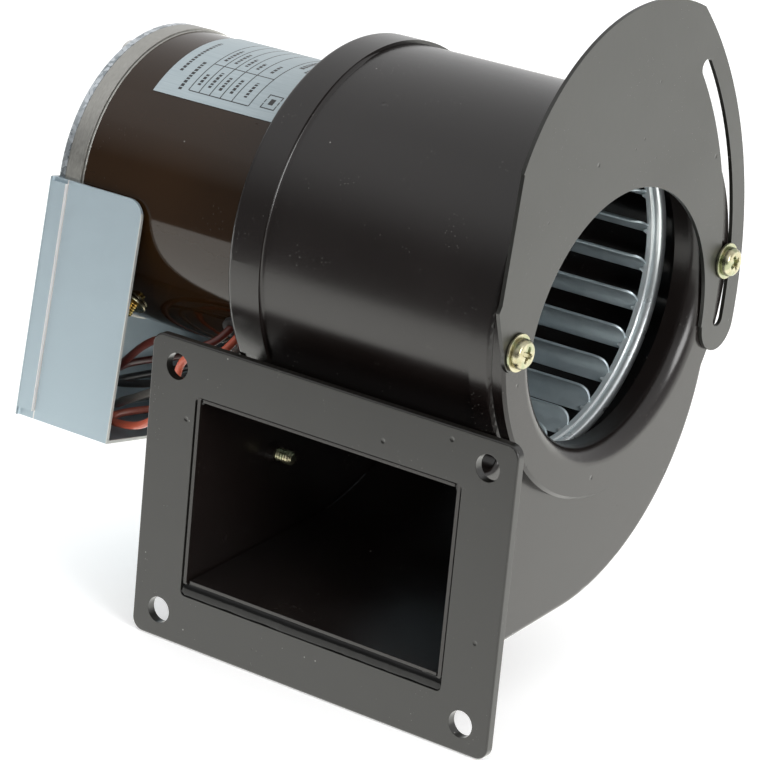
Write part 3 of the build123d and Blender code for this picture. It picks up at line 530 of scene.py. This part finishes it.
def cross_recess(x, y, head_r, head_t):
    """Depth of the cross recess in mm at a point of the head."""
    reach, wide, deep, wall = head_r * 0.56, head_r * 0.17, head_t * 0.62, 0.16
    along, beside = max(abs(x), abs(y)), min(abs(x), abs(y))
    inside = min((wide * (1.15 - 0.35 * along / reach) - beside) / wall, (reach - along) / (wall * 2.2))
    well = (head_r * 0.27 - math.hypot(x, y)) / wall
    share = max(0.0, min(1.0, max(inside, well)))
    share = share * share * (3 - 2 * share)
    return share * deep * (1 - 0.45 * along / reach)


def threaded_screw(node, seat, ahead, side, head_r, head_t, length, pitch, material="yellow_zinc"):
    """Pan-head screw with a cross recess and a rolled thread.  ahead points out of the head."""
    angles = [2 * math.pi * j / SCREW_AROUND for j in range(SCREW_AROUND)]
    rings = []
    for share in [0.02] + [0.03 * i for i in range(2, 22)] + [0.68, CROWN]:
        height = head_t * (1 - FALL * share ** 2)
        dish = [(head_r * share * math.cos(a), head_r * share * math.sin(a)) for a in angles]
        rings.append([(x, y, height - cross_recess(x, y, head_r, head_t)) for x, y in dish])
    outline = []
    for k in range(1, 9):
        a = math.radians(90 * k / 8)
        outline.append((head_r * (CROWN + (1 - CROWN) * math.sin(a)),
                        head_t * (EDGE_TOP - (EDGE_TOP - EDGE_LOW) * (1 - math.cos(a)))))
    outline += [(head_r, 0.12), (head_r - 0.12, 0.0), (SHANK_R + 0.2, 0.0), (SHANK_R, -NECK)]
    rings += [[(r * math.cos(a), r * math.sin(a), z) for a in angles] for r, z in outline]
    rows = int(length / pitch * TURN_ROWS)
    for k in range(1, rows + 1):
        z = -NECK - (length - NECK) * k / rows
        taper = TIP_SHARE + (1 - TIP_SHARE) * min(1.0, (length + z) / TIP_TAPER)
        ring = []
        for j, a in enumerate(angles):
            crest = 1 - abs(2 * ((-z / pitch + j / SCREW_AROUND) % 1.0) - 1)
            r = (SHANK_R - THREAD_DEPTH + THREAD_DEPTH * min(1.0, crest * 1.3)) * taper
            ring.append((r * math.cos(a), r * math.sin(a), z))
        rings.append(ring)
    verts, faces = loft([[tuple(c * MM for c in p) for p in ring] for ring in rings])
    place = Matrix.Translation(seat) @ frame_along(ahead, side)
    obj = from_lists(node + "_turned", [place @ Vector(v) for v in verts], faces, 42)
    placed(obj, "yellow_zinc", "housing", node, material=material)


PAN_R, PAN_T, SHUTTER_SEAT_X = 4.0, 2.4, 48.1
for node, y, z, spin in (("shutter_pivot_screw", 12.01, 61.53, 1.2), ("shutter_clamp_screw", 110.39, 68.07, 0.5)):
    threaded_screw(node, Vector((SHUTTER_SEAT_X, y, z)) * MM, (1, 0, 0), (0, math.cos(spin), math.sin(spin)),
                   PAN_R, PAN_T, length=6.4, pitch=0.8)
threaded_screw("duct_screw", Vector((-42.55, 33.5, 5.5)) * MM, (-1, 0, 0), (0, 1, 0.3), PAN_R, PAN_T, length=8.5,
               pitch=0.85)

# the earth screw comes out through the shell, so its thread stands outside
GROUND_X, GROUND_SEAT_R, GROUND_ANGLE = -93.0, 38.5, math.radians(-135)
inward = (0, -math.cos(GROUND_ANGLE), -math.sin(GROUND_ANGLE))
threaded_screw("ground_screw", round_shaft(GROUND_X, GROUND_SEAT_R, GROUND_ANGLE), inward, (1, 0, 0), 3.0, 1.6,
               length=7.3, pitch=0.8, material="brass_zinc")

# ------------------------------------------------------------------ sheet metal and castings
# how far each plain node's cut edges are eased
EASED = {
    "outlet_flange": 0.42, "scroll_wrap": 0.15, "motor_side_plate": 0.45, "inlet_side_plate": 0.25,
    "shutter_washers": 0.22, "motor_shell": 0.25, "front_end_shield": 0.3, "rear_end_shield": 0.3,
    "front_bearing": 0.2, "rear_bearing": 0.2, "bearing_retainers": 0.15, "stator_core": 0.15,
    "stator_windings": 0.8, "shading_rings": 0.3, "through_bolts": 0.12, "through_bolt_nuts": 0.2,
    "lead_grommet": 0.4, "ground_washer": 0.12, "rotor_shaft": 0.12, "rotor_core": 0.15, "rotor_end_rings": 0.4,
    "thrust_washers": 0.12, "wheel_hub": 0.25, "wheel_set_screw": 0.1, "wheel_back_plate": 0.2,
    "inlet_shutter": 0.2,
}
for node, width in EASED.items():
    eased(node, width)
eased("rear_end_plate", 0.35, material="galvanised_rim")


# ------------------------------------------------------------------ wheel
def lathe(name, profile, slot, body, *nodes, material=None, sharp=30):
    """A closed (x, radius) profile in mm, turned about the shaft."""
    around, count = 240, len(profile)
    verts = [round_shaft(x, r, 2 * math.pi * i / around) for i in range(around) for x, r in profile]
    faces = [(i * count + j, i * count + (j + 1) % count, (i + 1) % around * count + (j + 1) % count,
              (i + 1) % around * count + j) for i in range(around) for j in range(count)]
    bm = bmesh.new()
    add_faces(bm, verts, faces)
    placed(from_bmesh(name, bm, sharp), slot, body, *nodes, material=material)


def arc(cx, cr, radius, start, end, steps):
    """Points of an arc in an (x, radius) profile, degrees from +x towards +radius."""
    return [(cx + radius * math.cos(math.radians(start + (end - start) * i / steps)),
             cr + radius * math.sin(math.radians(start + (end - start) * i / steps))) for i in range(steps + 1)]


RING_REAR = 24.9
# the front ring is rolled over the strip's edge: a flat lip, a groove and a full round crown
ring_profile = ([(RING_REAR, 44.75), (RING_REAR, 44.5)] + arc(RING_REAR + 0.25, 44.5, 0.25, 180, 270, 3)
                + [(26.5, 44.22)] + arc(26.55, 44.42, 0.2, 270, 340, 3) + [(26.95, 44.62)]
                + arc(28.3, 45.75, 1.62, 232, 360, 14) + arc(28.55, 45.98, 1.32, 5, 90, 9)
                + arc(26.6, 47.1, 0.2, 90, 180, 2) + [(26.4, 46.85), (28.5, 46.8)]
                + arc(28.3, 45.95, 0.75, 80, -90, 8) + [(27.6, 45.2), (RING_REAR + 0.1, 44.95)])
# the ring wears the lighter copy of the wheel's galvanised, so its brightness is a painted highlight
lathe("wheel_front_ring_rolled", ring_profile, "wheel_galvanised", "rotor", "wheel_front_ring",
      material="wheel_ring_lit_copy", sharp=50)

BLADES, BLADE_T = 26, 0.6
PITCH = 2 * math.pi / BLADES
BLADE_IN, BLADE_OUT, BLADE_SWEEP, BLADE_BOW, BLADE_PHASE = 40.6, 46.0, 5.8, 1.1, 14.5
BLADE_CORNER, BLADE_STEPS, BLADE_RIM_ANGLE = 4.6, 14, 0.9
# a blade's under face is its top face turned about the shaft: at BLADE_MID_R that crosses the slanting
# sheet over SLANT times its thickness
SLANT, BLADE_MID_R = 1.25, 43.0
UNDER_TURN = -BLADE_T * SLANT / BLADE_MID_R
STRIP_REAR, BAND_EDGE, BAND_LAP, BAND_FRONT = -32.9, 25.3, 0.3, 28.4
BAND_IN, BAND_OUT, BAND_STEPS, BAND_RIM_ANGLE = 44.7, 45.3, 40, 1.2
WINDOW_W, WINDOW_R = 10.0, 1.7
WINDOW_MIDDLE = BLADE_PHASE - BLADE_SWEEP + 180 / BLADES


def blade_ring():
    """Blades bent out of one strip: each free corner is rounded where it runs into the front band."""
    bm = bmesh.new()
    bow = math.degrees(BLADE_BOW / ((BLADE_IN + BLADE_OUT) / 2))
    for k in range(BLADES):
        columns = []
        for i in range(BLADE_STEPS + 1):
            t = (i / BLADE_STEPS) ** 1.3
            r = BLADE_IN + (BLADE_OUT - BLADE_IN) * t
            angle = BLADE_PHASE - BLADE_SWEEP * t + bow * 4 * t * (1 - t)
            near = max(0.0, BLADE_CORNER - (r - BLADE_IN))
            x_end = BAND_EDGE + BAND_LAP - BLADE_CORNER + math.sqrt(max(0.0, BLADE_CORNER ** 2 - near ** 2))
            columns.append((r, angle, x_end))
        top, under = [[[bm.verts.new(round_shaft(x, r, math.radians(angle) + offset + k * PITCH))
                        for x in (STRIP_REAR, STRIP_REAR + 0.7 * (x_end - STRIP_REAR), x_end)]
                       for r, angle, x_end in columns] for offset in (0.0, UNDER_TURN)]
        for i in range(BLADE_STEPS):
            for j in (0, 1):
                bm.faces.new((top[i][j], top[i][j + 1], top[i + 1][j + 1], top[i + 1][j]))
                bm.faces.new((under[i][j], under[i + 1][j], under[i + 1][j + 1], under[i][j + 1]))
            for j in (0, 2):
                bm.faces.new((top[i][j], top[i + 1][j], under[i + 1][j], under[i][j]))
        for i in (0, BLADE_STEPS):
            for j in (0, 1):
                bm.faces.new((top[i][j], under[i][j], under[i][j + 1], top[i][j + 1]))
    bmesh.ops.recalc_face_normals(bm, faces=bm.faces)
    rounded(bm, [e for e in bm.edges if e.calc_face_angle(0) > BLADE_RIM_ANGLE], 0.14)
    placed(from_bmesh("wheel_blades_bent", bm, 40), "wheel_galvanised", "rotor", "wheel_blades")


def punched_band():
    """The strip's front edge: a band with an arched window between each two blades."""
    bm = bmesh.new()
    loops = []
    for n in range(BLADES * BAND_STEPS):
        angle = math.radians(WINDOW_MIDDLE) + PITCH * n / BAND_STEPS
        away = abs((n / BAND_STEPS + 0.5) % 1.0 - 0.5) * PITCH * BAND_IN
        beyond = max(0.0, away - (WINDOW_W / 2 - WINDOW_R))
        low = BAND_EDGE - WINDOW_R + math.sqrt(max(0.0, WINDOW_R ** 2 - beyond ** 2))
        corners = ((low, BAND_IN), (BAND_FRONT, BAND_IN), (BAND_FRONT, BAND_OUT), (low, BAND_OUT))
        loops.append([bm.verts.new(round_shaft(x, r, angle)) for x, r in corners])
    for here, there in zip(loops, loops[1:] + loops[:1]):
        for j in range(4):
            bm.faces.new((here[j], here[(j + 1) % 4], there[(j + 1) % 4], there[j]))
    bmesh.ops.recalc_face_normals(bm, faces=bm.faces)
    rounded(bm, [e for e in bm.edges if e.calc_face_angle(0) > BAND_RIM_ANGLE], 0.12)
    # the band wears the same lighter copy, so its brightness is painted light
    placed(from_bmesh("wheel_front_band", bm, 40), "wheel_galvanised", "rotor", "wheel_blades",
           material="wheel_ring_lit_copy")


blade_ring()
punched_band()
REAR_BAND = ((0, 44.75), (0.1, BAND_IN), (3.9, BAND_IN), (4.0, 44.8), (4.0, 45.2), (3.9, BAND_OUT),
             (0.1, BAND_OUT), (0, 45.25))
lathe("wheel_rear_band", [(STRIP_REAR + x, r) for x, r in REAR_BAND], "wheel_galvanised", "rotor", "wheel_blades")

# the shell's turned rear edge is a ring of bright metal, put there as a painted highlight
lathe("motor_shell_edge_highlight_ring", [(-104.02, 41.28), (-103.97, 41.48), (-103.8, 41.58), (-103.6, 41.5),
                                (-103.5, 41.28)], "cast_shield", "housing", material="cast_shield")

# ------------------------------------------------------------------ cover and label
eased("motor_label", 0.05)

COVER_TILT = math.radians(7.2)
COVER_REAR, COVER_BEND_SLACK, COVER_BEND_LONG = -0.1125, 0.0004, 0.05


def upright_bend(edge):
    """The wiring cover's corners between its rear wall and its sides."""
    a, b = (v.co for v in edge.verts)
    along = (b - a).normalized()
    up = Vector((0, math.sin(COVER_TILT), math.cos(COVER_TILT)))
    at_rear = (a.x + b.x) / 2 < COVER_REAR + COVER_BEND_SLACK
    return abs(along.dot(up)) > 0.99 and (b - a).length > COVER_BEND_LONG and at_rear


eased("wiring_cover", 0.2, bends=(upright_bend, 0.85))


# ------------------------------------------------------------------ welds and painted seam
ROUND = [2 * math.pi * j / 20 for j in range(20)]


def rope(points, radii):
    """Rings of a soft-sided tube along points, with a (high, wide) radius at each."""
    rings = []
    for i, point in enumerate(points):
        ahead = (points[min(i + 1, len(points) - 1)] - points[max(i - 1, 0)]).normalized()
        turn = frame_along(ahead, (0, 0, 1)).to_3x3()
        up, across = turn.col[0], turn.col[1]
        high, wide = radii[i]
        rings.append([point + up * high * math.cos(a) + across * wide * math.sin(a) for a in ROUND])
    return rings


WELD_STEP = 0.9
DROOP_AT, DROOP_WIDTH = 0.47, 0.07


def weld_run(x0, x1, y, z, radius, seed, droop=0.0, tall=1.0):
    """A run of filler along X, in mm: thick, uneven, with rounded ends and one sagging place."""
    steps = int(abs(x1 - x0) / WELD_STEP)
    points, radii = [], []
    for i in range(steps + 1):
        t = i / steps
        x = x0 + (x1 - x0) * t
        end = math.sqrt(max(0.02, 1 - (1 - min(1.0, min(t, 1 - t) * abs(x1 - x0) / (1.5 * radius))) ** 2))
        swell = 1 + 0.10 * noise.noise(Vector((x / 6, seed, 0))) + 0.05 * noise.noise(Vector((x / 1.7, seed, 4)))
        sag = droop * math.exp(-((t - DROOP_AT) / DROOP_WIDTH) ** 2)
        points.append(Vector((x, y, z - sag)) * MM)
        radii.append((radius * tall * swell * end * MM * (1 + 0.3 * sag), radius * swell * end * MM * 0.95))
    return rope(points, radii)


# the bead under the duct, then short runs over its roof and on its floor's ends
welds = [weld_run(-44.2, 43.6, 1.58, -26.75, 1.45, 3, droop=0.25, tall=1.75),
         weld_run(-42.6, -29.0, 1.35, 27.35, 0.75, 7), weld_run(27.0, 42.2, 1.35, 27.3, 0.8, 9),
         weld_run(-42.0, -34.5, 1.6, -24.7, 0.8, 11), weld_run(35.5, 42.0, 1.6, -24.6, 0.85, 13)]
# a lump of filler at each lower corner and a small one at each upper corner
LUMP_Y, LUMP_RINGS = 1.55, 13
for x, z, size, seed in ((-43.2, -26.9, 1.5, 21), (42.6, -26.6, 1.35, 23), (-41.6, 26.6, 0.95, 25),
                         (41.4, 26.5, 1.0, 27)):
    lump = []
    for i in range(LUMP_RINGS):
        a = math.pi * (i + 0.15) / (LUMP_RINGS - 0.7)
        r = size * math.sin(a) * (1 + 0.15 * noise.noise(Vector((i * 0.7, seed, 1))))
        up = z + size * math.cos(a)
        lump.append([Vector((x + r * math.cos(b), LUMP_Y + 0.9 * r * math.sin(b), up)) * MM for b in ROUND])
    welds.append(lump)
verts, faces = [], []
for rings in welds:
    more, more_faces = loft(rings)
    faces += [tuple(i + len(verts) for i in f) for f in more_faces]
    verts += more
# the filler wears the darker enamel copy, which paints the shade on the bead
placed(from_lists("flange_filler_welds", verts, faces, 60), "weld_enamel", "housing", "flange_welds")

SEAM_X, WRAP_R, SEAM_SUNK, SEAM_BEHIND = -31.6, 52.45, 0.12, 0.1
FADE_FIRST, FADE_LAST = 10, 5


def seam_fillet(name, start, end, radius):
    """Paint drawn into the step between the motor-side rim and the wrap, from start to end degrees."""
    rings, steps, curve = [], 150, 8
    for i in range(steps + 1):
        degrees = start + (end - start) * i / steps
        fade = min(1.0, (degrees - start) / FADE_FIRST + 0.05, (end - degrees) / FADE_LAST + 0.05)
        reach = radius * fade
        section = [(SEAM_X + reach * (1 - math.cos(b)), WRAP_R + reach * (1 - math.sin(b)))
                   for b in (math.radians(90 * j / curve) for j in range(curve + 1))]
        section += [(SEAM_X + reach, WRAP_R - SEAM_SUNK), (SEAM_X - SEAM_BEHIND, WRAP_R - SEAM_SUNK),
                    (SEAM_X - SEAM_BEHIND, WRAP_R + reach)]
        rings.append([round_shaft(x, r, math.radians(degrees)) for x, r in section])
    verts, faces = loft(rings)
    placed(from_lists(name, verts, faces, 40), SLOT_OF["scroll_wrap"], "housing")


seam_fillet("rim_seam_paint", 100, 206, 0.95)

# ------------------------------------------------------------------ label printing
LABEL_X0, LABEL_R = -92.4, 41.5
LABEL_LOW = math.radians(132)
INK_SUNK, INK_PROUD, INK_STEP = 0.02, 0.012, 2.0
DASH_SHORT, DASH_MORE, DASH_GAP = 0.55, 0.5, 0.38


def printed(patches):
    """Closed thin patches of ink on the label: (u0, u1, v0, v1) in mm, u along the shaft, v up round the shell."""
    verts, faces = [], []
    for u0, u1, v0, v1 in patches:
        parts = max(1, int((v1 - v0) / INK_STEP))
        for r in (LABEL_R - INK_SUNK, LABEL_R + INK_PROUD):
            for i in range(parts + 1):
                a = LABEL_LOW - (v0 + (v1 - v0) * i / parts) / LABEL_R
                verts += [round_shaft(LABEL_X0 + u, r, a) for u in (u0, u1)]
        base = len(verts) - 4 * (parts + 1)
        under, over = base, base + 2 * (parts + 1)
        for i in range(parts):
            a, b = 2 * i, 2 * i + 2
            faces += [(under + a, under + a + 1, under + b + 1, under + b),
                      (over + a, over + b, over + b + 1, over + a + 1),
                      (under + a, under + b, over + b, over + a),
                      (under + a + 1, over + a + 1, over + b + 1, under + b + 1)]
        last = 2 * parts
        faces += [(under, over, over + 1, under + 1),
                  (under + last, under + last + 1, over + last + 1, over + last)]
    return verts, faces


def dashes(u, v0, v1, tall, seed):
    """A row of plain short bars in place of a line of print, running round the shell."""
    row, v, k = [], v0, seed
    while v < v1:
        wide = DASH_SHORT + DASH_MORE * abs(math.sin(k * 2.399))
        row.append((u - tall / 2, u + tall / 2, v, min(v + wide, v1)))
        v += wide + DASH_GAP
        k += 1
    return row


RULES_U = (10.5, 14.0, 17.7, 21.4, 25.4, 31.2)
TABLE_LOW, TABLE_SPLIT, TABLE_HIGH = 3.0, 15.0, 44.5
RULE = 0.16
patches = [(u - RULE, u + RULE, TABLE_LOW, TABLE_HIGH) for u in RULES_U]
patches += [(RULES_U[0] + RULE, RULES_U[-1] - RULE, v - RULE, v + RULE) for v in (TABLE_LOW, TABLE_HIGH)]
patches += [(a + RULE, b - RULE, TABLE_SPLIT - RULE, TABLE_SPLIT + RULE) for a, b in zip(RULES_U, RULES_U[1:])]
patches += dashes(3.4, 9.0, 27.0, 1.0, 1) + dashes(7.6, 2.5, 15.0, 1.1, 5)
for k, (a, b) in enumerate(zip(RULES_U, RULES_U[1:])):
    patches += dashes((a + b) / 2, 5.5, 7.0 + 4.2 * abs(math.sin(k * 1.7 + 0.4)) + 1.5, 1.0, 9 + 3 * k)
    patches += dashes((a + b) / 2, 17.5, 23.5 + 2 * math.cos(k), 1.0, 11 + 5 * k)
# a plain frame with a bar in it fills the corner beside the table
patches += [(34.6, 39.4, 3.6, 3.95), (34.6, 39.4, 8.6, 8.95), (34.6, 34.95, 3.95, 8.6), (39.05, 39.4, 3.95, 8.6),
            (36.2, 37.8, 5.2, 7.4)]
patches += dashes(33.5, 24.0, 44.0, 1.6, 40) + dashes(37.0, 22.0, 44.0, 2.2, 50)
verts, faces = printed(patches)
label_print = from_lists("motor_label_print", verts, faces, 20)
placed(label_print, "label_foil", "housing", material="label_ink")

# ------------------------------------------------------------------ stage and lights
FLOOR_Z = cad_box[0][2] - 0.0002
CENTRE = Vector((0.0, 0.03, 0.04))


def softbox(name, position, size, power):
    """A rectangular lamp in metres and watts, shining at the middle of the fan."""
    data = bpy.data.lights.new(name, "AREA")
    data.shape = "RECTANGLE"
    data.size, data.size_y = size
    data.energy = power
    lamp = bpy.data.objects.new(name, data)
    scene.collection.objects.link(lamp)
    away = (Vector(position) - CENTRE).normalized()
    lamp.matrix_world = Matrix.Translation(position) @ away.to_track_quat("Z", "Y").to_matrix().to_4x4()


def sheet_of_paper(name, low, high, glow, tint=(1, 1, 1, 1)):
    """A flat pale stage surface that also gives off a little light of its own."""
    (x0, y0), (x1, y1) = low, high
    obj = from_lists(name, [(x0, y0, FLOOR_Z), (x1, y0, FLOOR_Z), (x1, y1, FLOOR_Z), (x0, y1, FLOOR_Z)],
                     [(0, 1, 2, 3)])
    paper = Nodes(name)
    paper.shader.inputs["Emission Color"].default_value = tint
    paper.shader.inputs["Emission Strength"].default_value = glow
    obj.data.materials.append(paper.finish(base=(0.93, 0.93, 0.93, 1), roughness=0.9, specular=0.1))
    return obj


# The floor that is seen, and the nearer table top that gloss reflects: its front
# edge is what draws the bright and dark bands along the round sheet metal.
FLOOR_GLOW, TABLE_GLOW, TABLE_TINT = 0.30, 1.5, (1.0, 1.0, 0.93, 1)
floor = sheet_of_paper("stage_floor", (-4, -4), (4, 4), FLOOR_GLOW)
floor.visible_glossy = False
table_top = sheet_of_paper("stage_table_top", (-0.9, -0.27), (3, 3), TABLE_GLOW, TABLE_TINT)
table_top.visible_camera = table_top.visible_diffuse = table_top.visible_shadow = False

# a tent of light that is dark low down in front
world = bpy.data.worlds.new("studio")
world.use_nodes = True
tree = world.node_tree
background = tree.nodes["Background"]
background.inputs["Color"].default_value = (1, 1, 1, 1)
direction = tree.nodes.new("ShaderNodeTexCoord")
parts = tree.nodes.new("ShaderNodeSeparateXYZ")
tree.links.new(direction.outputs["Generated"], parts.inputs[0])


def ramp(value, low, high, out_low, out_high):
    """The world's own span: value mapped smoothly from low..high to out_low..out_high."""
    node = tree.nodes.new("ShaderNodeMapRange")
    node.interpolation_type = "SMOOTHSTEP"
    for label, number in (("From Min", low), ("From Max", high), ("To Min", out_low), ("To Max", out_high)):
        node.inputs[label].default_value = number
    tree.links.new(value, node.inputs["Value"])
    return node.outputs["Result"]


overhead = ramp(parts.outputs["Z"], 0.05, 0.70, 0.0, 1.0)
behind = ramp(parts.outputs["Y"], -0.15, 0.55, 0.22, 1.0)
brightest = tree.nodes.new("ShaderNodeMath")
brightest.operation = "MAXIMUM"
tree.links.new(overhead, brightest.inputs[0])
tree.links.new(behind, brightest.inputs[1])
tree.links.new(brightest.outputs[0], background.inputs["Strength"])
scene.world = world

softbox("front_left_softbox", (-0.60, -0.55, 0.89), (0.8, 0.5), 0.10)
softbox("right_softbox", (1.0, -0.30, 0.42), (0.5, 0.5), 8.0)
